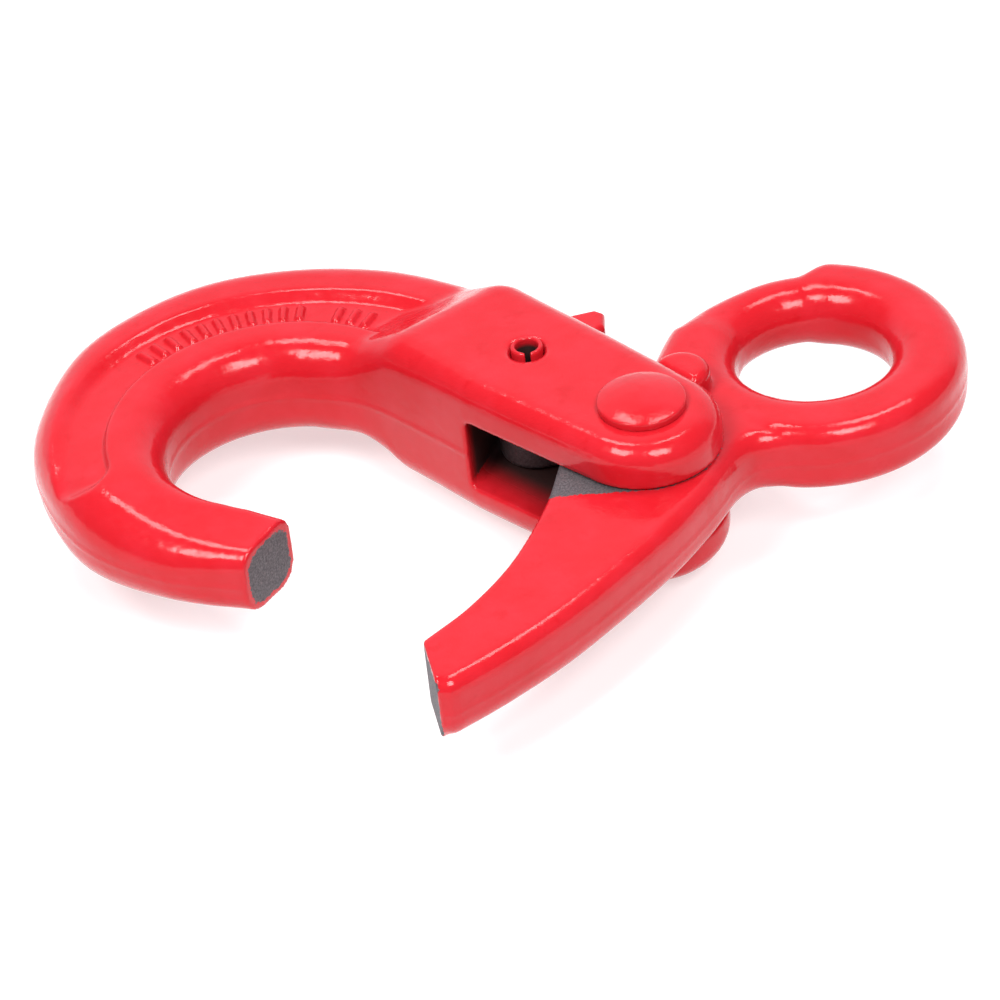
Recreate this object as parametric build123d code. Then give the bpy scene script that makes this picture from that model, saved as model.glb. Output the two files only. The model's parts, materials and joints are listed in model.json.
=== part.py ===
from build123d import *
import math
import os

# Eye self-locking safety hook, 6-8 mm chain size, lying flat.
# Millimetres. The origin is the centre of the bowl on the mid-plane, +X points along the
# load line towards the closed eye, and +Z is parallel to the hinge pin.

# Driving dimensions
BOWL_R = 15.6            # load bowl
HOOK_HALF = 7.7          # half thickness of the C-shaped hook
TIP_HALF = 5.2           # half thickness at the tip
HOOK_ROUND = 4.2         # edge rounding of the hook
TIP_START = (-12.5, -6.1)  # where the thinning towards the tip starts, beside the bowl
TIP_LEAN = -74.7         # plan direction of the thinning
TIP_LENGTH = 17.0
TIP_ROUND = 2.0          # upright edges of the tip face

PIN_XY = (49.7, -4.9)    # hinge pin
FORK_ANGLE = -41.0       # direction of the fork, from its root to the pin
FORK_END_R = 10.5        # round end of the ears, about the pin
FORK_ROOT_HALF = 12.0    # half width of the fork at its root
FORK_LENGTH = 37.0       # root of the fork to the pin
FORK_HALF = 11.75        # half thickness over both ears
FORK_ROUND = 3.0         # edge rounding of the ears
RAMP_ANGLE = -50.0       # plan direction in which the hook climbs to the ears
RAMP_FOOT = -9.6         # foot and head of the ramp, measured that way from the bowl centre
RAMP_HEAD = 0.25
RAMP_FOOT_HALF = 6.2     # half thickness at the foot
RAMP_SIDE = 9.0          # the ramp is kept this far from the bowl centre, sideways

SLOT_HALF = 5.5          # half height of the slot
SLOT_FRONT = 22.4        # slot end to pin, at the throat side
SLOT_BACK = 34.0         # slot end to pin, at the back

PIN_R = 4.5              # hinge pin shank
HEAD_R = 5.8             # hinge pin head
HEAD_BASE_R = 6.15
HEAD_RIM = 0.9           # height of the head's rim over the ear
HEAD_DOME = 1.4          # height of the dome over the rim
RUN_FIT = 0.06           # radial clearance of a turning fit

ROLL_BACK = 20.9         # roll pin behind the hinge pin, along the fork
ROLL_SIDE = -0.3
ROLL_R = 2.2
ROLL_BORE_R = 1.35
ROLL_HALF = 12.45        # half length, standing a little out of each ear
ROLL_SLIT = 0.9
ROLL_SLIT_ANGLE = -83.0
ROLL_CHAMFER = 0.35

GATE_HALF = 5.3          # half thickness of the gate, neck and eye
GATE_ROUND = 2.2
GATE_END_ROUND = 1.2     # upright edges of the end face
ARM_FOOT_R = 11.6        # inner end of the arm's front, about the pin
EYE_XY = (71.8, 16.6)
EYE_R = 20.8
EYE_BORE_R = 10.5
EYE_ROUND = 3.6           # outer edge rounding of the eye
EYE_BORE_ROUND = 3.4
HEEL_R = 10.3            # heel of the gate, about the pin
NOTCH_R = 8.0            # notch that the trigger drops into when the gate is shut
STOP_R = 3.9             # boss that meets the ear when the gate is open
STOP_ALONG = -4.4        # its centre, along and across the fork
STOP_SIDE = 12.2
STOP_TOP = 8.6
STOP_GAP = 0.15          # left between boss and ear when the gate is open

TRIGGER_HALF = 5.2
PAD_ROUND = 0.9
HUB_R = 5.0
HUB_CLEAR = 0.6          # the spring seat reaches this far past the hub
SPRING_FLOOR = 0.6       # the hub is cut down to this height to seat the spring
SPRING_R = 3.0           # mean radius of the coil
SPRING_WIRE_R = 0.4
SPRING_TURNS = 4
SPRING_GAP = 0.12        # between turns
SPRING_LIFT = 0.2        # lowest turn over the hub
SPRING_LEG = 3.2         # straight leg at each end

RECESS_R = 26.35         # middle of the forged recess, about the bowl
RECESS_HALF = 3.25
RECESS_DEPTH = 1.3
RECESS_END = 198.0       # angles of its rounded end and of its end at the ramp
RECESS_START = 62.0
BAR_GROUPS = ((139.0, 3), (123.5, 8), (76.5, 3))  # first angle and number of raised bars
BAR_STEP = 5.0
BAR_SIZE = (3.5, 1.0, 0.5)

THROUGH = 20.0           # half height of a cut that goes right through
BEYOND = 12.0            # a cut from outside is carried on past the solid to here

os.makedirs("parts", exist_ok=True)


def fork_point(along, side):
    """Plan point from distances along and across the fork, measured from the pin."""
    a = math.radians(FORK_ANGLE)
    x = PIN_XY[0] + along * math.cos(a) - side * math.sin(a)
    y = PIN_XY[1] + along * math.sin(a) + side * math.cos(a)
    return (x, y)


def around(centre, radius, degrees):
    a = math.radians(degrees)
    return (centre[0] + radius * math.cos(a), centre[1] + radius * math.sin(a))


def slab(edges, half):
    """Solid of a closed outline, as thick each way from the mid-plane."""
    return Pos(0, 0, -half) * extrude(make_face(edges), amount=2 * half)


def disc(centre, radius, half):
    return Pos(centre[0], centre[1]) * Cylinder(radius, 2 * half)


def flat_edges(solid, height):
    """Edges that lie at one height above or below the mid-plane."""
    return [e for e in solid.edges() if abs(abs(e.center().Z) - height) < 1e-4
            and abs(e.bounding_box().size.Z) < 1e-4]


def hook_outline():
    """C shape: tip face, outside, back, throat wall and bowl."""
    tip_in = around((0, 0), BOWL_R - 0.2, -78)
    tip_out = (-2.6, -26.2)
    outside = Spline(tip_out, (-12.2, -24.4), (-24.6, -17.2), (-32.4, -4.8), (-34.6, 6.0),
                     (-31.2, 20.0), (-22.0, 31.4), (-8.8, 38.2), (5.0, 39.0), (18.7, 35.4),
                     fork_point(-38.0, 12.0))
    root = Line(outside @ 1, fork_point(-20, 0))
    across = Line(root @ 1, fork_point(-30, -12.0))
    throat = Line(across @ 1, fork_point(-35, -12.2))
    bowl_top = around((0, 0), BOWL_R, 84)
    blend = TangentArc(bowl_top, throat @ 1, tangent=(1, -0.1))
    bowl = ThreePointArc(bowl_top, (-BOWL_R, 0), tip_in)
    tip = Line(bowl @ 1, tip_out)
    return [outside, root, across, throat, blend, bowl, tip]


def c_part():
    solid = slab(hook_outline(), HOOK_HALF)
    corners = [e for e in solid.edges().filter_by(Axis.Z)
               if e.center().Y < -10 and e.center().X < 10]
    solid = fillet(corners, TIP_ROUND)
    return fillet(flat_edges(solid, HOOK_HALF), HOOK_ROUND)


def ramp_block():
    """Space between the two ramps, carried on past the ears' outer faces."""
    slope = (FORK_HALF - RAMP_FOOT_HALF) / (RAMP_HEAD - RAMP_FOOT)
    past = 2.0
    top = FORK_HALF + past
    top_at = RAMP_HEAD + past / slope
    far = 80
    profile = Polyline((RAMP_FOOT, -RAMP_FOOT_HALF), (top_at, -top), (far, -top), (far, top),
                       (top_at, top), (RAMP_FOOT, RAMP_FOOT_HALF), close=True)
    block = extrude(Plane.XZ * make_face(profile), amount=-far)
    return Rot(0, 0, RAMP_ANGLE) * Pos(0, RAMP_SIDE, 0) * block


def tip_taper():
    """Wedges above and below the point, which thin it towards its end."""
    profile = Polyline((0, HOOK_HALF), (TIP_LENGTH, TIP_HALF), (TIP_LENGTH, BEYOND),
                       (0, BEYOND), close=True)
    wedge = extrude(Plane.XZ * make_face(profile), amount=2 * BEYOND, both=True)
    wedge += mirror(wedge, about=Plane.XY)
    return Pos(*TIP_START) * Rot(0, 0, TIP_LEAN) * wedge


def fork():
    back_root = fork_point(-FORK_LENGTH, FORK_ROOT_HALF)
    front_root = fork_point(-FORK_LENGTH, -FORK_ROOT_HALF)
    back_end = fork_point(0, FORK_END_R)
    front_end = fork_point(0, -FORK_END_R)
    outline = [Line(back_root, back_end),
               ThreePointArc(back_end, fork_point(FORK_END_R, 0), front_end),
               Line(front_end, front_root), Line(front_root, back_root)]
    solid = slab(outline, FORK_HALF)
    rims = [e for e in flat_edges(solid, FORK_HALF)
            if (e.center() - Vector(*fork_point(-FORK_LENGTH, 0), e.center().Z)).length > 4]
    return fillet(rims, FORK_ROUND)


def slot():
    """Space between the ears, open on both sides; its end leans across the fork."""
    far = FORK_END_R + 5
    side = 16
    outline = Polyline(fork_point(-SLOT_FRONT + 2, -side), fork_point(-SLOT_BACK - 2, side),
                       fork_point(far, side), fork_point(far, -side), close=True)
    return slab(outline.edges(), SLOT_HALF)


def recess():
    """Curved pocket of the forging, on both faces, with rows of raised bars in it."""
    centre = (0, 0)
    outer = RECESS_R + RECESS_HALF
    inner = RECESS_R - RECESS_HALF
    middle = (RECESS_START + RECESS_END) / 2
    cap = around(around(centre, RECESS_R, RECESS_END), RECESS_HALF, RECESS_END + 90)
    outline = [ThreePointArc(around(centre, outer, RECESS_START), around(centre, outer, middle),
                             around(centre, outer, RECESS_END)),
               ThreePointArc(around(centre, outer, RECESS_END), cap,
                             around(centre, inner, RECESS_END)),
               ThreePointArc(around(centre, inner, RECESS_END), around(centre, inner, middle),
                             around(centre, inner, RECESS_START)),
               Line(around(centre, inner, RECESS_START), around(centre, outer, RECESS_START))]
    floor = HOOK_HALF - RECESS_DEPTH
    cut = Pos(0, 0, floor) * extrude(make_face(outline), amount=BEYOND - floor)
    for first, number in BAR_GROUPS:
        for step in range(number):
            angle = first - BAR_STEP * step
            spot = around(centre, RECESS_R, angle)
            cut -= Pos(*spot, floor) * Rot(0, 0, angle) * Box(*BAR_SIZE[:2], 2 * BAR_SIZE[2])
    return cut + mirror(cut, about=Plane.XY)


def hook_body():
    solid = c_part() - tip_taper() - recess()
    solid += (slab(hook_outline(), FORK_HALF) + fork()) & ramp_block()
    solid -= slot()
    solid -= disc(PIN_XY, PIN_R, THROUGH)
    solid -= disc(roll_centre(), ROLL_R, THROUGH)
    return solid


def gate_outline():
    """Arm, heel and neck of the gate in its open place."""
    inner_end = (22.6, -44.2)
    outer_end = (25.9, -53.0)
    heel_low = around(PIN_XY, ARM_FOOT_R, 193)
    notch = around(PIN_XY, NOTCH_R, 178)
    tooth = around(PIN_XY, HEEL_R, 168)
    heel_top = around(PIN_XY, HEEL_R, 112)
    inner = Spline(heel_low, (37.1, -17.0), (33.0, -28.6), inner_end)
    end = Line(inner_end, outer_end)
    outer = Spline(outer_end, (34.6, -46.4), (42.6, -38.0), (53.0, -24.2), (62.0, -7.6))
    to_eye = Line(outer @ 1, around(EYE_XY, EYE_BORE_R + 4, 248))
    in_eye = Line(to_eye @ 1, around(EYE_XY, EYE_R - 0.6, 166))
    back = Line(in_eye @ 1, heel_top)
    heel = ThreePointArc(heel_top, around(PIN_XY, HEEL_R, 140), tooth)
    shoulder = Line(tooth, notch)
    foot = Line(notch, heel_low)
    return [inner, end, outer, to_eye, in_eye, back, heel, shoulder, foot]


def ears_space():
    """Plan space of the ears, with the gap that the open gate's boss keeps from them."""
    end = FORK_END_R + STOP_GAP
    root = FORK_ROOT_HALF + STOP_GAP
    outline = Polyline(fork_point(-FORK_LENGTH, root), fork_point(0, end), fork_point(0, -end),
                       fork_point(-FORK_LENGTH, -root), close=True)
    return slab(outline.edges(), THROUGH) + disc(PIN_XY, end, THROUGH)


def stop_boss():
    """Pads on the neck that meet the ears when the gate is fully open."""
    return disc(fork_point(STOP_ALONG, STOP_SIDE), STOP_R, STOP_TOP) - ears_space()


def eye_gate():
    arm = slab(gate_outline(), GATE_HALF)
    ends = [e for e in arm.edges().filter_by(Axis.Z) if e.center().Y < -40]
    arm = fillet(ends, GATE_END_ROUND)
    arm = fillet([e for e in flat_edges(arm, GATE_HALF) if e.length > 50], GATE_ROUND)
    ring = disc(EYE_XY, EYE_R, GATE_HALF)
    solid = arm + fillet(flat_edges(ring, GATE_HALF), EYE_ROUND)
    solid += stop_boss()
    solid -= disc(EYE_XY, EYE_BORE_R, THROUGH)
    rims = [e for e in flat_edges(solid, GATE_HALF) if e.geom_type == GeomType.CIRCLE
            and abs(e.radius - EYE_BORE_R) < 1e-3]
    solid = fillet(rims, EYE_BORE_ROUND)
    return solid - disc(PIN_XY, PIN_R + RUN_FIT, THROUGH)


def hinge_pin():
    shank = disc(PIN_XY, PIN_R, FORK_HALF)
    rim_z = FORK_HALF + HEAD_RIM
    sphere_r = (HEAD_R ** 2 + HEAD_DOME ** 2) / (2 * HEAD_DOME)
    profile = [Line((0, FORK_HALF), (HEAD_BASE_R, FORK_HALF)),
               Line((HEAD_BASE_R, FORK_HALF), (HEAD_R, rim_z)),
               RadiusArc((HEAD_R, rim_z), (0, rim_z + HEAD_DOME), -sphere_r),
               Line((0, rim_z + HEAD_DOME), (0, FORK_HALF))]
    head = revolve(Plane.XZ * make_face(profile), Axis.Z)
    head = Pos(*PIN_XY) * head
    return shank + head + mirror(head, about=Plane.XY)


def roll_centre():
    return fork_point(-ROLL_BACK, ROLL_SIDE)


def trigger_pin():
    tube = Cylinder(ROLL_R, 2 * ROLL_HALF) - Cylinder(ROLL_BORE_R, 2 * ROLL_HALF + 2)
    ends = [e for e in flat_edges(tube, ROLL_HALF) if abs(e.radius - ROLL_R) < 1e-3]
    tube = chamfer(ends, ROLL_CHAMFER)
    tube -= Pos(ROLL_R, 0, 0) * Box(2 * ROLL_R, ROLL_SLIT, 2 * ROLL_HALF + 2)
    return Pos(*roll_centre()) * Rot(0, 0, ROLL_SLIT_ANGLE) * tube


def trigger_outline():
    """Nose towards the heel, and the lever out of the back to the thumb pad."""
    nose_low = fork_point(-12.2, 1.6)
    nose_high = fork_point(-11.0, 6.0)
    lever_front = fork_point(-22.6, 11.0)
    pad_front = fork_point(-23.2, 16.6)
    pad_tip = fork_point(-26.6, 18.9)
    pad_back = fork_point(-28.8, 16.4)
    lever_back = fork_point(-27.0, 8.0)
    hub_low = fork_point(-ROLL_BACK + 2, -3.4)
    hub_back = fork_point(-ROLL_BACK - 3.4, 2)
    return Polyline(hub_low, nose_low, nose_high, fork_point(-17.5, 7.2), lever_front, pad_front,
                    pad_tip, pad_back, lever_back, hub_back, close=True).edges()


def trigger():
    blade = slab(trigger_outline(), TRIGGER_HALF)
    tips = [e for e in blade.edges().filter_by(Axis.Z)
            if (e.center() - Vector(*fork_point(-26.6, 18.9), 0)).length < 3]
    blade = fillet(tips, PAD_ROUND)
    solid = blade + disc(roll_centre(), HUB_R, TRIGGER_HALF)
    seat = disc(roll_centre(), HUB_R + HUB_CLEAR, BEYOND)
    solid -= Pos(0, 0, SPRING_FLOOR + BEYOND) * seat
    return solid - disc(roll_centre(), ROLL_R + RUN_FIT, THROUGH)


def trigger_spring():
    """Torsion spring round the roll pin, with a straight leg at each end of its coil."""
    pitch = 2 * SPRING_WIRE_R + SPRING_GAP
    coil = Helix(pitch=pitch, height=pitch * SPRING_TURNS, radius=SPRING_R)
    section = Plane(coil @ 0, z_dir=coil % 0) * Circle(SPRING_WIRE_R)
    wire = sweep(section, path=coil, is_frenet=True)
    first_leg = extrude(Plane(coil @ 0, z_dir=-(coil % 0)) * Circle(SPRING_WIRE_R), SPRING_LEG)
    last_leg = extrude(Plane(coil @ 1, z_dir=coil % 1) * Circle(SPRING_WIRE_R), SPRING_LEG)
    low = SPRING_FLOOR + SPRING_WIRE_R + SPRING_LIFT
    return Pos(*roll_centre(), low) * (wire + first_leg + last_leg)


NODES = {
    "hook_body": hook_body,
    "eye_gate": eye_gate,
    "hinge_pin": hinge_pin,
    "trigger": trigger,
    "trigger_pin": trigger_pin,
    "trigger_spring": trigger_spring,
}

for name, make in NODES.items():
    export_step(make(), f"parts/{name}.step")
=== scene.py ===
"""Eye self-locking safety hook: forged, dipped in red paint, lying open on a pale floor.

The two forgings, the trigger and the pins are meshed here from distance fields, so that every
edge has the soft radius of a painted forging. Lengths in the fields are millimetres in the
frame's own axes, and go to metres when a mesh is made.
"""
import json
import math

import bpy
import numpy as np
from mathutils import Matrix, Vector


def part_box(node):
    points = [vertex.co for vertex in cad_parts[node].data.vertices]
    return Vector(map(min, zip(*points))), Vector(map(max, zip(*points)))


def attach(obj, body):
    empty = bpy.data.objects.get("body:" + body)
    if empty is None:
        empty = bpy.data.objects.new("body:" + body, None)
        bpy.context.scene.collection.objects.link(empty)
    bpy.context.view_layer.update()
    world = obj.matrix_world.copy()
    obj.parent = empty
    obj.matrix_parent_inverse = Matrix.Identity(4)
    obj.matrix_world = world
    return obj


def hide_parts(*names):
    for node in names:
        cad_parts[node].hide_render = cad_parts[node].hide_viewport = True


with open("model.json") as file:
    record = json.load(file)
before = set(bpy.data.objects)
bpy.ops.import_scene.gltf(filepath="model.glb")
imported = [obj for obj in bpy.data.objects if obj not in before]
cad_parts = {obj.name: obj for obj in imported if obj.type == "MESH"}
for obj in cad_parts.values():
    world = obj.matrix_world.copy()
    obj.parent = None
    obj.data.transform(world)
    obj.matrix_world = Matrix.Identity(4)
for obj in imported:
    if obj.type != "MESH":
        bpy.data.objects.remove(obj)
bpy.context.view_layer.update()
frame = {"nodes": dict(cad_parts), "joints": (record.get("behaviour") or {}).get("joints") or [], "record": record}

MM = 0.001
GRID = 0.36      # mesh step of the forgings
FINE_GRID = 0.16  # mesh step of the small pieces
NOWHERE = -9.0          # value of a cut or a mark, in mm, where it doesn't apply


# ---------------------------------------------------------------- places read from the frame

def joint(name):
    return next(j for j in frame["joints"] if j["name"] == name)


def joint_place(name):
    """Plan position of a joint, in millimetres."""
    return np.array(joint(name)["pos_m"][:2]) / MM


def mount(name):
    return next(m for m in frame["record"]["mounts"] if m["name"] == name)


def top_of(node):
    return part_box(node)[1][2] / MM


PIN = joint_place("gate_hinge")
ROLL = joint_place("trigger_pivot")
EYE = np.array(mount("eye")["pos_m"][:2]) / MM
EYE_BORE_R = mount("eye")["dims"]["r_mm"]
FORK_HALF = top_of("hook_body")
EYE_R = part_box("eye_gate")[1][0] / MM - EYE[0]

# Driving sizes of the forgings and pins
BOWL_R = 15.6
HOOK_HALF = 7.7
TIP_HALF = 5.2
SLOT_HALF = 5.5
FORK_R = 10.5
FORK_DEGREES = -41.0
FORK_ANGLE = math.radians(FORK_DEGREES)
FORK_TAPER = 0.0405     # how much each side of the fork widens per mm from the hinge pin
GATE_HALF = 5.3
PIN_R = 4.5
ROLL_R = 2.2
ROLL_BORE_R = 1.55
RUNNING_GAP = 0.06      # radial clearance of the gate and the trigger on their pins


def fork_point(along, side):
    """Plan point from distances along and across the fork, measured from the hinge pin."""
    c, s = math.cos(FORK_ANGLE), math.sin(FORK_ANGLE)
    return (PIN[0] + along * c - side * s, PIN[1] + along * s + side * c)


def fork_axes(x, y):
    """Distances along and across the fork of a plan point."""
    c, s = math.cos(FORK_ANGLE), math.sin(FORK_ANGLE)
    return (x - PIN[0]) * c + (y - PIN[1]) * s, (y - PIN[1]) * c - (x - PIN[0]) * s


# ---------------------------------------------------------------- outlines and distance fields

def spline(points, steps=14):
    """Smooth curve through points (x, y, edge radius), with its two ends free."""
    p = np.array(points, float)
    ends = np.vstack([2 * p[0] - p[1], p, 2 * p[-1] - p[-2]])
    tangent = (ends[2:] - ends[:-2]) / 2
    t = np.linspace(0, 1, steps, endpoint=False)[:, None]
    h0, h1 = 2 * t ** 3 - 3 * t ** 2 + 1, t ** 3 - 2 * t ** 2 + t
    h2, h3 = -2 * t ** 3 + 3 * t ** 2, t ** 3 - t ** 2
    parts = [h0 * p[i] + h1 * tangent[i] + h2 * p[i + 1] + h3 * tangent[i + 1]
             for i in range(len(p) - 1)]
    return np.vstack(parts + [p[-1:]])


def arc(centre, radius, start, end, edge, steps=60):
    a = np.radians(np.linspace(start, end, steps))
    return np.column_stack([centre[0] + radius * np.cos(a), centre[1] + radius * np.sin(a),
                            np.full(steps, edge)])


def plan_field(x, y, stretches):
    """Signed distance to a closed outline, and the edge radius of its nearest stretch."""
    line = np.vstack(stretches)
    a, b = line, np.roll(line, -1, axis=0)
    best = np.full(x.shape, 1e9)
    edge = np.zeros(x.shape)
    inside = np.zeros(x.shape, bool)
    for (ax, ay, ae), (bx, by, be) in zip(a, b):
        dx, dy = bx - ax, by - ay
        length = dx * dx + dy * dy
        if length < 1e-12:
            continue
        t = np.clip(((x - ax) * dx + (y - ay) * dy) / length, 0, 1)
        gap = (x - ax - t * dx) ** 2 + (y - ay - t * dy) ** 2
        near = gap < best
        best = np.where(near, gap, best)
        edge = np.where(near, ae + t * (be - ae), edge)
        if dy:
            crosses = ((ay > y) != (by > y)) & (x < ax + (y - ay) * dx / dy)
            inside ^= crosses
    return np.where(inside, -1, 1) * np.sqrt(best), edge


def smooth_max(a, b, k):
    h = np.clip(0.5 + 0.5 * (a - b) / k, 0, 1)
    return b + (a - b) * h + k * h * (1 - h)


def smooth_min(a, b, k):
    return -smooth_max(-a, -b, k)


def step_up(value, start, end):
    """0 before start, 1 after end, smooth between."""
    t = np.clip((value - start) / (end - start), 0, 1)
    return t * t * (3 - 2 * t)


def rounded(wall, lid, edge):
    """Two faces that meet in an edge of the given radius."""
    a, b = wall + edge, lid + edge
    return np.minimum(np.maximum(a, b), 0) + np.hypot(np.maximum(a, 0), np.maximum(b, 0)) - edge


def blur_edge(edge, passes=6):
    """Evens out the edge radius where two stretches of an outline meet."""
    for _ in range(passes):
        pad = np.pad(edge, 1, mode="edge")
        edge = (pad[:-2, 1:-1] + pad[2:, 1:-1] + pad[1:-1, :-2] + pad[1:-1, 2:] + edge) / 5
    return edge


class Grid:
    """Regular grid round a box; plan arrays have one layer, so fields broadcast over height."""

    def __init__(self, low, high, step):
        margin = 2 * step
        axes = [np.arange(l - margin, h + margin + step, step) for l, h in zip(low, high)]
        self.low = np.array([a[0] for a in axes])
        self.step = step
        self.x2, self.y2 = np.meshgrid(axes[0], axes[1], indexing="ij")
        self.x, self.y = self.x2[..., None], self.y2[..., None]
        self.z = axes[2][None, None, :]


def node_grid(node, step, grow=0.6):
    low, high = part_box(node)
    return Grid([v / MM - grow for v in low], [v / MM + grow for v in high], step)


def surface(field, grid):
    """Surface nets: one vertex in each cell the surface crosses, one quad on each crossed edge."""
    f = field.astype(np.float32)
    inside = f < 0
    nx, ny, nz = (n - 1 for n in f.shape)
    corner = [(i, j, k) for i in (0, 1) for j in (0, 1) for k in (0, 1)]
    total = sum(inside[i:i + nx, j:j + ny, k:k + nz].astype(np.int8) for i, j, k in corner)
    cells = (total > 0) & (total < len(corner))
    where = np.argwhere(cells)
    index = np.full(cells.shape, -1, np.int64)
    index[cells] = np.arange(len(where))
    value = {c: f[tuple((where + c).T)] for c in corner}
    place = np.zeros((len(where), 3))
    count = np.zeros((len(where), 1))
    for c in corner:
        for axis in range(3):
            if c[axis]:
                continue
            d = list(c)
            d[axis] = 1
            a, b = value[c], value[tuple(d)]
            crossed = (a < 0) != (b < 0)
            t = np.where(crossed, a / np.where(crossed, a - b, 1), 0)
            point = np.array(c) + t[:, None] * (np.array(d) - c)
            place += np.where(crossed[:, None], point, 0)
            count += crossed[:, None]
    vertices = grid.low + (where + place / count) * grid.step
    quads = []
    for axis in range(3):
        u, v = (axis + 1) % 3, (axis + 2) % 3
        low = np.take(inside, range(0, f.shape[axis] - 1), axis)
        high = np.take(inside, range(1, f.shape[axis]), axis)
        for flip, mask in ((False, low & ~high), (True, ~low & high)):
            e = np.argwhere(mask)
            e = e[(e[:, u] > 0) & (e[:, v] > 0)]
            e = e[(e[:, u] < cells.shape[u]) & (e[:, v] < cells.shape[v])]
            ring = []
            for du, dv in ((-1, -1), (0, -1), (0, 0), (-1, 0)):
                c = e.copy()
                c[:, u] += du
                c[:, v] += dv
                ring.append(index[tuple(c.T)])
            ring = np.column_stack(ring)
            quads.append(ring[:, ::-1] if flip else ring)
    return vertices, np.vstack(quads)


def sample(field, grid, points):
    """Field at points, straight between grid values."""
    p = (points - grid.low) / grid.step
    i = np.clip(np.floor(p).astype(int), 0, np.array(field.shape) - 2)
    t = p - i
    value = 0
    for c in ((a, b, d) for a in (0, 1) for b in (0, 1) for d in (0, 1)):
        weight = np.prod(np.where(c, t, 1 - t), axis=1)
        value = value + weight * field[tuple((i + c).T)]
    return value


def no_mark(x, y, z):
    return np.full(len(x), NOWHERE)


def mesh_piece(name, field, grid, body, replaced, material, marks):
    """Mesh a field, draw it onto the true surface, write its marks, and ride it on a body."""
    vertices, quads = surface(field, grid)
    gradient = np.gradient(field, grid.step)
    for _ in range(2):
        slope = np.column_stack([sample(g, grid, vertices) for g in gradient])
        slope /= np.maximum((slope ** 2).sum(1, keepdims=True), 0.2)
        vertices = vertices - slope * sample(field, grid, vertices)[:, None]
    mesh = bpy.data.meshes.new(name)
    mesh.vertices.add(len(vertices))
    mesh.vertices.foreach_set("co", (vertices * MM).astype(np.float32).ravel())
    mesh.loops.add(quads.size)
    mesh.loops.foreach_set("vertex_index", quads.astype(np.int32).ravel())
    mesh.polygons.add(len(quads))
    mesh.polygons.foreach_set("loop_start", np.arange(0, quads.size, 4, dtype=np.int32))
    mesh.polygons.foreach_set("use_smooth", np.ones(len(quads), bool))
    mesh.update(calc_edges=True)
    mesh.validate()
    for key, mark in marks.items():
        layer = mesh.attributes.new(key, "FLOAT", "POINT")
        layer.data.foreach_set("value", mark(*vertices.T).astype(np.float32))
    piece = bpy.data.objects.new(name, mesh)
    bpy.context.scene.collection.objects.link(piece)
    mesh.materials.append(material)
    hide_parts(*replaced)
    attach(piece, body)


# ---------------------------------------------------------------- hook body

TIP_IN = (2.8, -16.8)
TIP_OUT = (-2.6, -26.3)
TIP_REACH = 8.0         # the outline is carried on this far, then cut by the end face
TIP_X, TIP_Y = 14, -5   # the tip lies at lower x and y than these
TIP_START = (-12, -8)   # from here the hook grows thinner towards the tip
TIP_WAY = (0.263, -0.965)
BOWL_START, BOWL_END = -100, -276   # angles of the bowl's arc, from the tip to the throat
TIP_FADE = (4, 16)      # points of that arc between which the tip's edge grows to the bowl's
RIDGE_R = 23.1          # crisp inner ridge of the recess, about the bowl's centre
RECESS_OUT_R = 29.4
RECESS_DEPTH = 1.35
RECESS_END = 198.0      # angle of the recess's rounded end
RECESS_WIDENING = 2.0   # how much wider the recess is at the ramp
MARK_R = 26.2           # the raised bars are centred on this radius
MARK_PITCH = 5.0        # degrees from bar to bar
MARK_HALF_WIDTH, MARK_HALF_LENGTH, MARK_HEIGHT = 0.72, 1.9, 0.75
WALL_EDGE, OUTER_EDGE, BACK_EDGE, EAR_EDGE, TIP_EDGE = 5.0, 6.3, 5.4, 3.2, 2.8
EAR_BACK_EDGE = 4.4     # the far side of the ears
TIP_INNER_EDGE = 1.7    # the point's side towards the bowl
LOW_LEAST = 3.5         # no lower edge is sharper than this
LOW_EXTRA = 1.6         # the lower edges at the throat and fork are this much rounder
DRAFT = 0.03            # how much a forged wall leans, per mm from the parting line
RAMP_ANGLE = math.radians(-50.0)
RAMP_SLOPE = 0.56
SLOT_END = (-22.4, -11.8)       # the slot's end at the throat, along and across the fork
SLOT_END_WAY = (0.9135, 0.407)  # out of the slanted end and into the slot, in the same axes
MOUTH_FLARE = 0.6       # how much the roll pin's hole widens at the ears' faces


def end_face(x, y, inner, outer):
    """Distances along an end face from its middle, and out of it; and the face's half width."""
    face = np.array(outer) - np.array(inner)
    width = np.hypot(*face)
    face = face / width
    along = (x - inner[0]) * face[0] + (y - inner[1]) * face[1] - width / 2
    out = (y - inner[1]) * face[0] - (x - inner[0]) * face[1]
    return along, out, width / 2


def beyond(inner, outer, point, reach):
    """A point of an outline carried on past an end face, at right angles to it."""
    face = np.array(outer) - np.array(inner)
    face = face / np.hypot(*face)
    return (point[0] - reach * face[1], point[1] + reach * face[0])


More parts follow.
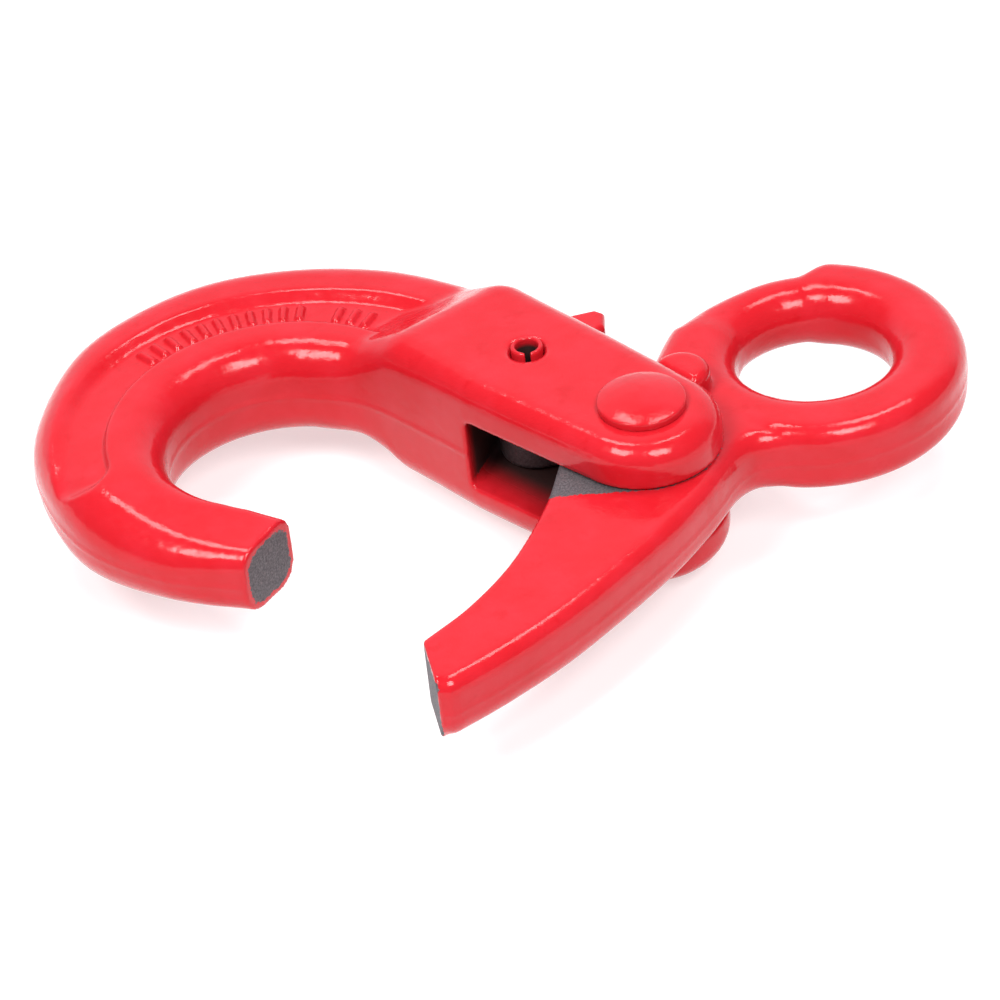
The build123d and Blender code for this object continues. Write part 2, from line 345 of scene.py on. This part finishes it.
def hook_outline():
    bowl = arc((0, 0), BOWL_R, BOWL_START, BOWL_END, WALL_EDGE)
    bowl[:, 2] = np.interp(np.arange(len(bowl)), TIP_FADE, (TIP_INNER_EDGE, WALL_EDGE))
    tip = np.array([(*beyond(TIP_IN, TIP_OUT, TIP_OUT, TIP_REACH), TIP_EDGE),
                    (*beyond(TIP_IN, TIP_OUT, TIP_IN, TIP_REACH), TIP_EDGE),
                    (*TIP_IN, TIP_EDGE)])
    throat = spline([(*bowl[-1, :2], WALL_EDGE), (9.6, 13.5, 4.4), (17.0, 7.9, 3.8),
                     (*fork_point(*SLOT_END), EAR_EDGE)])
    ears = arc(PIN, FORK_R, FORK_DEGREES - 90, FORK_DEGREES + 90, EAR_EDGE)
    ears[:, 2] = np.linspace(EAR_EDGE, EAR_BACK_EDGE, len(ears))
    back = spline([(*fork_point(-36, 12), EAR_BACK_EDGE), (23.6, 32.8, 4.6),
                   (12.4, 38.0, BACK_EDGE), (-1, 39.2, BACK_EDGE), (-14, 36.4, BACK_EDGE),
                   (-24.4, 29.3, BACK_EDGE), (-31.5, 19.6, BACK_EDGE), (-34.6, 6, OUTER_EDGE),
                   (-32.6, -4.6, OUTER_EDGE), (-25.6, -16.2, 5.6), (-14.8, -23.4, 4.4),
                   (*TIP_OUT, TIP_EDGE)])
    return [bowl, throat, ears, back, tip]


def recess_mask(x, y):
    """1 on the floor of the recess; steep at the inner ridge, a long slope at the outer bead."""
    r = np.hypot(x, y)
    angle = np.degrees(np.arctan2(y, x)) % 360
    mid = (RIDGE_R + RECESS_OUT_R) / 2
    half = mid - RIDGE_R
    widening = step_up(angle, 95, 40) * RECESS_WIDENING
    side = half - np.abs(r - mid) + np.where(r > mid, widening, 0)
    end = np.radians(RECESS_END)
    cap = half - np.hypot(x - mid * np.cos(end), y - mid * np.sin(end))
    inside = np.where((angle > RECESS_END) & (angle < RECESS_END + 90), cap, side)
    inside = np.where(angle > RECESS_END + 90, NOWHERE, inside)
    outward = step_up(r, RIDGE_R + 0.3, mid + 0.8)
    t = np.clip((inside + 0.1 + 1.6 * outward) / (0.8 + 1.9 * outward), 0, 1)
    return t * t * (3 - 2 * t)


def forge_marks(x, y):
    """Plain raised bars in a row along the recess, radial and evenly spaced in three groups."""
    r = np.hypot(x, y)
    angle = np.degrees(np.arctan2(y, x))
    height = np.zeros(x.shape)
    ends = step_up(MARK_HALF_LENGTH - np.abs(r - MARK_R), 0, 0.45)
    for start, number in ((139.0, 3), (123.5, 8), (76.5, 3)):
        for step in range(number):
            across = np.abs(np.radians(angle - start + MARK_PITCH * step) * r)
            height = np.maximum(height, step_up(MARK_HALF_WIDTH - across, 0, 0.42) * ends)
    return MARK_HEIGHT * height


def hook_half(x, y):
    """Half thickness over the plan: ring, recess, ramp, ears and the thinner tip."""
    to_tip = (x - TIP_START[0]) * TIP_WAY[0] + (y - TIP_START[1]) * TIP_WAY[1]
    ring = HOOK_HALF - (HOOK_HALF - TIP_HALF) * step_up(to_tip, -2, 17) * (x < TIP_X)
    mask = recess_mask(x, y)
    ring = ring - RECESS_DEPTH * mask + forge_marks(x, y) * mask
    _, side = fork_axes(x, y)
    climb = x * math.cos(RAMP_ANGLE) + y * math.sin(RAMP_ANGLE)
    ramp = smooth_min(np.full(x.shape, FORK_HALF), FORK_HALF + RAMP_SLOPE * (climb - 0.25), 0.9)
    return np.where(side > -18, smooth_max(ring, ramp, 0.7), ring)


def lid_field(z, half, step):
    """Distance out of two level faces, at a half thickness that may vary over the plan."""
    slope = np.gradient(half, step)
    lean = np.sqrt(1 + slope[0] ** 2 + slope[1] ** 2)
    return (np.abs(z) - half[..., None]) / lean[..., None]


def slot_field(x, y, z):
    """Slot between the ears, with its slanted, round-cornered end. Negative in the slot."""
    along, side = fork_axes(x, y)
    wall = (SLOT_END[0] - along) * SLOT_END_WAY[0] + (SLOT_END[1] - side) * SLOT_END_WAY[1]
    return rounded(wall + 0 * z, np.abs(z) - SLOT_HALF + 0 * wall, 1.1)


def flash(z):
    """Trace of the forging's parting line."""
    return 0.13 * np.exp(-(z / 0.33) ** 2)


def hook_field(g):
    wall, edge = plan_field(g.x2, g.y2, hook_outline())
    edge = blur_edge(edge)
    along, _ = fork_axes(g.x2, g.y2)
    draft = DRAFT * step_up(-along, 14, 32)
    wall = wall[..., None] - flash(g.z) + draft[..., None] * np.abs(g.z)
    low = LOW_EXTRA * step_up(g.x, 6, 16) * (1 - step_up(g.x, 38, 48))
    edge = np.where(g.z < 0, np.maximum(edge[..., None], LOW_LEAST) + low, edge[..., None])
    f = rounded(wall, lid_field(g.z, hook_half(g.x2, g.y2), g.step), edge)
    f = smooth_max(f, -slot_field(g.x, g.y, g.z), 0.4)
    _, out, _ = end_face(g.x, g.y, TIP_IN, TIP_OUT)
    f = smooth_max(f, np.where((g.y < TIP_Y) & (g.x < TIP_X), out, NOWHERE), 0.35)
    f = np.maximum(f, PIN_R - np.hypot(g.x - PIN[0], g.y - PIN[1]))
    flare = MOUTH_FLARE * step_up(np.abs(g.z), FORK_HALF - 1.0, FORK_HALF + 0.2)
    mouth = ROLL_R + 0.05 + flare
    return smooth_max(f, mouth - np.hypot(g.x - ROLL[0], g.y - ROLL[1]), 0.25)


def tip_bare(x, y, z):
    """Millimetres inside the bare part of the tip's end face."""
    along, out, half_width = end_face(x, y, TIP_IN, TIP_OUT)
    across = np.abs(along) * TIP_HALF / half_width
    rim = TIP_HALF - 0.9 - (across ** 3.2 + np.abs(z) ** 3.2) ** (1 / 3.2)
    return np.minimum(rim, (out + 0.35) * 3)


def nicks(x, y, z):
    """Two small chips of the paint on the outer rim."""
    spots = ((-16.6, 34.0, 3.8, 0.9), (-33.0, 11.0, 4.2, 0.7))
    return np.max([r - np.sqrt((x - a) ** 2 / 2 + (y - b) ** 2 / 2 + (z - c) ** 2)
                   for a, b, c, r in spots], axis=0)


def hook_bare(x, y, z):
    return np.maximum(tip_bare(x, y, z), nicks(x, y, z))


def hook_painted_shade(x, y, z):
    """How deep a point lies in the slot, in millimetres, for the painted shade that darkens the slot's inside; on
    the slot's floor the painted shade starts further in and grows more slowly.
    """
    along, side = fork_axes(x, y)
    depth = np.where(along < 0, 11.6 - np.abs(side), FORK_R - np.hypot(along, side))
    floor = (np.abs(z) < SLOT_HALF + 0.6) & (np.abs(z) > SLOT_HALF - 0.6)
    depth = np.where(floor, 0.5 * depth, depth + 0.8)
    return np.where(slot_field(x, y, z) < 0.7, depth, -1)


# ---------------------------------------------------------------- eye and gate

INNER_END = (22.5, -44.1)
OUTER_END = (24.9, -53.2)
GATE_EDGE, GATE_INNER_EDGE, EYE_EDGE, BORE_EDGE = 2.4, 0.8, 4.0, 4.7
EYE_NEAR_EDGE = 2.9     # the eye's outer edge on its -Y side
LOW_EDGE = 4.4          # the gate's outer edge on the lower face
GATE_REACH = 2.0        # the outline is carried on this far, then cut by the end face
CLOSE_ANGLE = -math.radians(joint("gate_hinge")["range_deg"][0])
BOSS_AT, BOSS_R, BOSS_TOP = (-4.5, 12.2), 3.9, 9.0
BOSS_GAP = 0.15         # left between the bosses and the ears when the gate is open
HEEL_R = 10.3
SHORTER, LOWER = 2.2, 0.45  # most that the forging left off the eye beside the neck


def round_pin(radius, degrees, edge):
    a = math.radians(degrees)
    return (PIN[0] + radius * math.cos(a), PIN[1] + radius * math.sin(a), edge)


def gate_outline():
    inner = spline([(*INNER_END, GATE_INNER_EDGE), (28.1, -37.3, GATE_INNER_EDGE),
                    (33.1, -28.4, GATE_INNER_EDGE), (36.8, -17.1, GATE_INNER_EDGE),
                    round_pin(11.6, 193, GATE_INNER_EDGE)])
    notch = np.array([round_pin(8, 178, 0.5), round_pin(HEEL_R, 168, 0.5)])
    heel = arc(PIN, HEEL_R, 165, 112, 0.5)
    neck = spline([round_pin(HEEL_R, 112, 0.8), (48.6, 9.6, 1.4), (50.6, 15.4, 2.0), (53, 22, 2.4)])
    web = np.array([(58, 22, 3), (63, 6, 3)])
    outer = spline([(66.9, -3.2, 3.6), (62.5, -6.8, 2.8), (58.4, -15.2, GATE_EDGE),
                    (53, -24.2, GATE_EDGE), (42.6, -38, GATE_EDGE), (34.6, -46.4, GATE_EDGE),
                    (27.6, -52.6, GATE_EDGE)])
    end = np.array([(26.5, -53.2, GATE_EDGE), (*OUTER_END, GATE_EDGE),
                    (*beyond(INNER_END, OUTER_END, OUTER_END, -GATE_REACH), 0.6),
                    (*beyond(INNER_END, OUTER_END, INNER_END, -GATE_REACH), 0.6)])
    return [inner, notch, heel, neck, web, outer, end]


def ear_field(x, y):
    """Distance outside the ears' outline, in the plan."""
    along, side = fork_axes(x, y)
    straight = np.abs(side) + FORK_TAPER * along
    return np.where(along < 0, straight, np.hypot(along, side)) - FORK_R


def hammered(x, y):
    """How narrow and how low the forging left the sector of the eye beside the neck, 0 to 1."""
    angle = np.degrees(np.arctan2(y - EYE[1], x - EYE[0])) % 360
    start = step_up(angle, 83, 99)
    return start * (1 - step_up(angle, 125, 175)), start * (1 - step_up(angle, 150, 165))


def eye_ring(x, y):
    return np.hypot(x - EYE[0], y - EYE[1]) - EYE_R + SHORTER * hammered(x, y)[0]


def gate_half(x, y):
    return GATE_HALF - LOWER * hammered(x, y)[1]


def gate_field(g):
    arm, arm_edge = plan_field(g.x2, g.y2, gate_outline())
    ring = eye_ring(g.x2, g.y2)
    wall = smooth_min(arm, ring, 2.6)
    blend = step_up(arm - ring, -3, 3)
    eye_edge = EYE_EDGE + (EYE_NEAR_EDGE - EYE_EDGE) * step_up(EYE[1] - g.y2, -4, 8)
    edge = blur_edge(arm_edge * (1 - blend) + eye_edge * blend)
    lid = lid_field(g.z, gate_half(g.x2, g.y2), g.step)
    low = np.maximum(LOW_EDGE - arm_edge, 0) * step_up(arm_edge, 1.2, 2.2) * (1 - blend)
    edge = edge[..., None] + blur_edge(low)[..., None] * (g.z < 0)
    f = rounded(wall[..., None] - flash(g.z), lid, edge)
    bore = EYE_BORE_R - np.hypot(g.x - EYE[0], g.y - EYE[1])
    f = np.maximum(f, rounded(bore + 0 * g.z, lid, BORE_EDGE))
    _, out, _ = end_face(g.x, g.y, INNER_END, OUTER_END)
    f = smooth_max(f, np.where(g.y < -40, -out, NOWHERE), 0.3)
    boss = np.array(fork_point(*BOSS_AT))
    pad = np.hypot(g.x - boss[0], g.y - boss[1]) - BOSS_R
    pad = smooth_max(pad, BOSS_GAP - ear_field(g.x, g.y), 0.5)
    f = smooth_min(f, rounded(pad + 0 * g.z, np.abs(g.z) - BOSS_TOP + 0 * pad, 1.5), 0.7)
    return np.maximum(f, PIN_R + RUNNING_GAP - np.hypot(g.x - PIN[0], g.y - PIN[1]))


def gate_bare(x, y, z):
    """Bare end face, and bare faces where the ears cover the gate while it is shut."""
    along, out, half_width = end_face(x, y, INNER_END, OUTER_END)
    end = np.minimum(np.minimum(half_width - 0.3 - np.abs(along), 4.7 - np.abs(z)),
                     (0.3 - out) * 3)
    c, s = math.cos(CLOSE_ANGLE), math.sin(CLOSE_ANGLE)
    dx, dy = x - PIN[0], y - PIN[1]
    shut = -ear_field(PIN[0] + dx * c + dy * s, PIN[1] - dx * s + dy * c)
    root = np.minimum(shut - 0.3, (np.abs(z) - GATE_HALF + 0.7) * 3)
    root = np.where(np.abs(z) < GATE_HALF + 0.4, root, -1)
    return np.maximum(end, root)


# ---------------------------------------------------------------- trigger, pins and spring

TRIGGER_HALF = 5.2
HUB_R = 5.0
PAD_SIDE = 11.6         # the thumb pad stands out of the fork past this, across it
SPRING_FLOOR = 0.6      # the spring's seat in the trigger starts at this height
SPRING_LEG = 2.4
WIRE_R = 0.4
SPRING_TURNS = 4
HEAD_R = 5.95           # the hinge pin's heads
DOME_R = 14.6
SLIT_ANGLE = math.radians(-83)  # where the roll pin's slit faces
SLIT_HALF = 0.36


def trigger_field(g):
    corners = [(-18.9, -3.4), (-12.2, 1.6), (-11.0, 6.0), (-17.5, 7.2), (-22.6, 11.0),
               (-23.2, 16.4), (-25.2, 18.5), (-26.6, 18.3), (-28.9, 14.6), (-27.2, 8.0),
               (-24.3, 2.0)]
    outline = np.array([(*fork_point(*c), 0.9) for c in corners])
    wall, _ = plan_field(g.x2, g.y2, [outline])
    hub = np.hypot(g.x2 - ROLL[0], g.y2 - ROLL[1])
    wall = smooth_min(wall - 0.2, hub - HUB_R, 1.5)[..., None]
    f = rounded(wall + 0 * g.z, np.abs(g.z) - TRIGGER_HALF + 0 * wall, 1.0)
    seat = np.maximum(hub[..., None] - HUB_R - 0.6, SPRING_FLOOR - g.z)
    f = smooth_max(f, -seat, 0.4)
    return np.maximum(f, ROLL_R + RUNNING_GAP - hub[..., None])


def trigger_bare(x, y, z):
    """The trigger is painted only where it stands out of the fork."""
    _, side = fork_axes(x, y)
    return PAD_SIDE - side


def hinge_pin_field(g):
    r = np.hypot(g.x - PIN[0], g.y - PIN[1])
    up = np.abs(g.z)
    crown = top_of("hinge_pin")
    dome = np.hypot(r, up - crown + DOME_R) - DOME_R
    head = smooth_max(smooth_max(dome, r - HEAD_R, 0.16), FORK_HALF - 0.05 - up, 0.1)
    shank = np.maximum(r - PIN_R, up - FORK_HALF - 0.3)
    return np.minimum(head, shank)


def roll_pin_field(g):
    dx, dy = g.x - ROLL[0], g.y - ROLL[1]
    r = np.hypot(dx, dy)
    half = top_of("trigger_pin")
    tube = np.maximum(r - ROLL_R, ROLL_BORE_R - r)
    f = rounded(tube + 0 * g.z, np.abs(g.z) - half + 0 * r, 0.35)
    ahead = dx * math.cos(SLIT_ANGLE) + dy * math.sin(SLIT_ANGLE)
    across = np.abs(-dx * math.sin(SLIT_ANGLE) + dy * math.cos(SLIT_ANGLE))
    return smooth_max(f, -np.maximum(across - SLIT_HALF, -ahead), 0.25)


def roll_pin_painted_shade(x, y, z):
    """Painted shade darkens the roll pin's bore, more so further in from its ends."""
    depth = top_of("trigger_pin") - 0.4 - np.abs(z)
    return np.where(np.hypot(x - ROLL[0], y - ROLL[1]) < ROLL_BORE_R + 0.2, 3 * depth, -1)


def trigger_painted_shade(x, y, z):
    """Painted shade on the part of the trigger that stays in the slot."""
    _, side = fork_axes(x, y)
    return np.where(side < 10.5, 2.2, -1.0)


def spring_curve(material):
    """Torsion spring of round wire, with a straight leg at each end."""
    low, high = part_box("trigger_spring")
    wire = WIRE_R * MM
    per_turn = 24
    last = SPRING_TURNS * per_turn
    radius = (high.x - low.x) / 2 - wire
    centre = (low + high) / 2
    points = []
    for k in range(last + 1):
        a = 2 * math.pi * k / per_turn
        rise = low.z + wire + (high.z - low.z - 2 * wire) * k / last
        points.append((centre.x + radius * math.cos(a), centre.y + radius * math.sin(a), rise))
    (x, y, bottom), top = points[0], points[-1][2]
    points = [(x, y - SPRING_LEG * MM, bottom), *points, (x, y + SPRING_LEG * MM, top)]
    data = bpy.data.curves.new("torsion_spring", "CURVE")
    data.dimensions = "3D"
    data.bevel_depth = wire
    data.bevel_resolution = 3
    line = data.splines.new("POLY")
    line.points.add(len(points) - 1)
    for point, place in zip(line.points, points):
        point.co = (*place, 1)
    piece = bpy.data.objects.new("torsion_spring", data)
    bpy.context.scene.collection.objects.link(piece)
    data.materials.append(material)
    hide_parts("trigger_spring")
    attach(piece, "hook")


# ---------------------------------------------------------------- materials

class Nodes:
    """Short way to build a material's node tree."""

    def __init__(self, name, slot):
        self.material = bpy.data.materials.new(name)
        self.material.use_nodes = True
        self.material["slot"] = slot
        self.tree = self.material.node_tree
        self.shader = self.tree.nodes["Principled BSDF"]
        self.where = self.add("ShaderNodeTexCoord").outputs["Object"]

    def add(self, kind, inputs=(), **settings):
        node = self.tree.nodes.new(kind)
        for key, value in settings.items():
            setattr(node, key, value)
        for key, value in dict(inputs).items():
            self.put(node.inputs[key], value)
        return node

    def put(self, socket, value):
        if isinstance(value, bpy.types.NodeSocket):
            self.tree.links.new(value, socket)
        else:
            socket.default_value = value

    def noise(self, scale, detail=3.0, rough=0.55, warp=0.0):
        node = self.add("ShaderNodeTexNoise", {"Vector": self.where, "Scale": scale,
                                               "Detail": detail, "Roughness": rough,
                                               "Distortion": warp})
        return node.outputs["Fac"]

    def attribute(self, name):
        return self.add("ShaderNodeAttribute", attribute_name=name).outputs["Fac"]

    def math(self, kind, a, b=0.0):
        return self.add("ShaderNodeMath", {0: a, 1: b}, operation=kind).outputs[0]

    def ramp(self, value, low, high, out_low=0.0, out_high=1.0):
        node = self.add("ShaderNodeMapRange", {"Value": value, "From Min": low, "From Max": high,
                                               "To Min": out_low, "To Max": out_high},
                        interpolation_type="SMOOTHSTEP")
        return node.outputs["Result"]

    def mix(self, factor, a, b):
        node = self.add("ShaderNodeMix", data_type="RGBA")
        self.put(node.inputs["Factor"], factor)
        self.put(node.inputs["A"], a)
        self.put(node.inputs["B"], b)
        return node.outputs["Result"]

    def bump(self, height, strength, distance, below=None):
        node = self.add("ShaderNodeBump", {"Strength": strength, "Distance": distance,
                                           "Height": height})
        if below:
            self.put(node.inputs["Normal"], below)
        return node.outputs["Normal"]


PER_MM = 1000.0         # texture scales are given per metre

RED = (0.50, 0.0100, 0.0165, 1)
RED_THIN = (0.45, 0.004, 0.008, 1)
RED_DUST = (0.52, 0.014, 0.023, 1)
STEEL = (0.075, 0.070, 0.078, 1)
STEEL_LIGHT = (0.18, 0.165, 0.172, 1)
# painted shade: near-black colour laid over the enamel deep in the slot, in the roll pin's bore and on the
# trigger's hidden part
PAINTED_SHADE_COLOUR = (0.030, 0.012, 0.011, 1)


def painted_forging():
    """Dipped red enamel over forged steel: bare where the bare mark says so, and darkened towards near-black by
    painted shade where the painted shade mark says so.
    """
    n = Nodes("red_enamel", "red_paint")
    film = n.noise(0.16 * PER_MM, 2.0)
    peel = n.noise(0.55 * PER_MM, 2.0, 0.5)
    grit = n.noise(2.6 * PER_MM, 3.0, 0.6)
    colour = n.mix(n.ramp(film, 0.35, 0.7), RED, RED_DUST)
    colour = n.mix(n.ramp(n.noise(0.3 * PER_MM, 4.0), 0.58, 0.75, 0, 0.5), colour, RED_THIN)
    rag = n.math("MULTIPLY", n.math("SUBTRACT", n.noise(1.1 * PER_MM, 4.0, 0.65), 0.5), 1.5)
    bare = n.ramp(n.math("ADD", n.attribute("bare"), rag), -0.08, 0.08)
    grain = n.noise(3.4 * PER_MM, 5.0, 0.75)
    steel = n.mix(n.ramp(grain, 0.35, 0.7), STEEL, STEEL_LIGHT)
    # painted shade: the colour turns towards the near-black shade colour as the painted shade mark grows
    shade_amount = n.ramp(n.attribute("painted_shade"), 0.6, 3.4)
    colour = n.mix(bare, colour, steel)
    colour = n.mix(shade_amount, colour, PAINTED_SHADE_COLOUR)
    shine = n.ramp(n.noise(0.8 * PER_MM, 3.0), 0.3, 0.75, 0.10, 0.22)
    rough = n.math("MAXIMUM", n.math("MAXIMUM", shine, n.math("MULTIPLY", bare, 0.62)),
                   n.math("MULTIPLY", shade_amount, 0.7))
    normal = n.bump(peel, 0.19, 0.00035)
    normal = n.bump(n.noise(1.5 * PER_MM, 2.0, 0.6), 0.11, 0.00012, normal)
    normal = n.bump(grit, n.math("ADD", n.math("MULTIPLY", bare, 0.5), 0.03), 0.00012, normal)
    n.put(n.shader.inputs["Base Color"], colour)
    n.put(n.shader.inputs["Roughness"], rough)
    n.put(n.shader.inputs["Metallic"], n.math("MULTIPLY", bare, 0.55))
    n.put(n.shader.inputs["Normal"], normal)
    n.shader.inputs["IOR"].default_value = 1.34
    return n.material


def spring_steel():
    n = Nodes("oiled_wire", "spring_steel")
    streak = n.noise(0.9 * PER_MM, 4.0, 0.6, 0.4)
    n.put(n.shader.inputs["Base Color"], n.mix(n.ramp(streak, 0.3, 0.7), STEEL, STEEL_LIGHT))
    n.put(n.shader.inputs["Roughness"], n.ramp(streak, 0.3, 0.7, 0.3, 0.5))
    n.shader.inputs["Metallic"].default_value = 0.9
    return n.material


def floor_material():
    n = Nodes("pale_floor", "")
    tone = n.noise(9.0, 2.0)
    n.put(n.shader.inputs["Base Color"], n.mix(tone, (0.50, 0.50, 0.50, 1), (0.52, 0.52, 0.52, 1)))
    n.shader.inputs["Roughness"].default_value = 0.85
    n.shader.inputs["Emission Color"].default_value = (1, 1, 1, 1)
    n.shader.inputs["Emission Strength"].default_value = 0.56
    return n.material


# ---------------------------------------------------------------- stage

TARGET = Vector((30.0, -9.15, 0)) * MM
YAW, ELEVATION, ROLL_ANGLE = math.radians(7.3), math.radians(37.65), math.radians(-6.7)
DISTANCE = 0.650
LENS = 175.5
STUDIO_DARK, STUDIO_BRIGHT = 0.20, 0.98
FLOOR_REACH = 3.0
SOFTBOXES = (           # name, way in level_way's terms, size, watts
    ("over_left", (-0.22, 0.26, 0.94), (0.18, 0.40), 2.8),
    ("over_right", (0.32, 0.16, 0.93), (0.18, 0.40), 2.8),
    ("front_left", (-0.45, -0.40, 0.80), (0.36, 0.36), 7.2),
    ("front_right", (0.28, -0.58, 0.76), (0.36, 0.36), 7.2),
)


def view_axes():
    ahead = Vector((-math.sin(YAW) * math.cos(ELEVATION), math.cos(YAW) * math.cos(ELEVATION),
                    -math.sin(ELEVATION)))
    level = Vector((math.cos(YAW), math.sin(YAW), 0))
    up = level.cross(ahead)
    right = math.cos(ROLL_ANGLE) * level + math.sin(ROLL_ANGLE) * up
    top = -math.sin(ROLL_ANGLE) * level + math.cos(ROLL_ANGLE) * up
    return right, top, ahead


def add_camera():
    right, top, ahead = view_axes()
    data = bpy.data.cameras.new("camera")
    data.lens = LENS
    data.sensor_width = 36
    data.clip_start = 0.01
    data.clip_end = 20
    camera = bpy.data.objects.new("camera", data)
    bpy.context.scene.collection.objects.link(camera)
    turn = Matrix((right, top, -ahead)).transposed().to_4x4()
    camera.matrix_world = Matrix.Translation(TARGET - ahead * DISTANCE) @ turn
    bpy.context.scene.camera = camera


def level_way(side, away, up):
    """World direction from one given to the camera's right, away from it, and up."""
    across = Vector((math.cos(YAW), math.sin(YAW), 0))
    ahead = Vector((-math.sin(YAW), math.cos(YAW), 0))
    return (across * side + ahead * away + Vector((0, 0, up))).normalized()


def add_softbox(name, way, size, power, distance=1.0):
    """Soft rectangular light that shines on the hook from the given direction."""
    data = bpy.data.lights.new(name, "AREA")
    data.shape = "RECTANGLE"
    data.size, data.size_y = size
    data.energy = power
    light = bpy.data.objects.new(name, data)
    bpy.context.scene.collection.objects.link(light)
    light.location = TARGET + way * distance
    light.rotation_euler = (-way).to_track_quat("-Z", "Y").to_euler()


def add_world():
    """Bright paper behind and at the sides of the hook, a darker studio over and before it."""
    world = bpy.data.worlds.new("studio")
    bpy.context.scene.world = world
    world.use_nodes = True
    tree = world.node_tree
    place = tree.nodes.new("ShaderNodeTexCoord")
    dot = tree.nodes.new("ShaderNodeVectorMath")
    dot.operation = "DOT_PRODUCT"
    dot.inputs[1].default_value = level_way(0, 1, 0.15)
    tree.links.new(place.outputs["Generated"], dot.inputs[0])
    ramp = tree.nodes.new("ShaderNodeMapRange")
    ramp.interpolation_type = "SMOOTHSTEP"
    for socket, value in (("From Min", 0.35), ("From Max", 0.72), ("To Min", STUDIO_DARK),
                          ("To Max", STUDIO_BRIGHT)):
        ramp.inputs[socket].default_value = value
    tree.links.new(dot.outputs["Value"], ramp.inputs["Value"])
    background = tree.nodes["Background"]
    background.inputs["Color"].default_value = (1.0, 0.96, 1.06, 1)
    tree.links.new(ramp.outputs["Result"], background.inputs["Strength"])


def add_floor():
    low = min(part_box(node)[0].z for node in frame["nodes"])
    mesh = bpy.data.meshes.new("floor")
    corners = [(x * FLOOR_REACH, y * FLOOR_REACH, low)
               for x, y in ((-1, -1), (1, -1), (1, 1), (-1, 1))]
    mesh.from_pydata(corners, [], [(0, 1, 2, 3)])
    floor = bpy.data.objects.new("floor", mesh)
    bpy.context.scene.collection.objects.link(floor)
    mesh.materials.append(floor_material())


# ---------------------------------------------------------------- the scene

bpy.context.scene.view_settings.view_transform = "Standard"
add_camera()
add_world()
add_floor()
for box_name, way, size, power in SOFTBOXES:
    add_softbox(box_name, level_way(*way), size, power)

PIECES = (              # name, CAD node, mesh step, shape, body, bare mark, painted shade mark
    ("hook_forging", "hook_body", GRID, hook_field, "hook", hook_bare, hook_painted_shade),
    ("gate_forging", "eye_gate", GRID, gate_field, "gate", gate_bare, no_mark),
    ("trigger_lever", "trigger", FINE_GRID, trigger_field, "trigger", trigger_bare,
     trigger_painted_shade),
    ("riveted_pin", "hinge_pin", FINE_GRID, hinge_pin_field, "hook", no_mark, no_mark),
    ("slotted_pin", "trigger_pin", FINE_GRID, roll_pin_field, "hook", no_mark, roll_pin_painted_shade),
)

enamel = painted_forging()
for piece_name, node, step, shape, body, bare, painted_shade in PIECES:
    grid = node_grid(node, step)
    mesh_piece(piece_name, shape(grid), grid, body, [node], enamel,
               {"bare": bare, "painted_shade": painted_shade})
spring_curve(spring_steel())
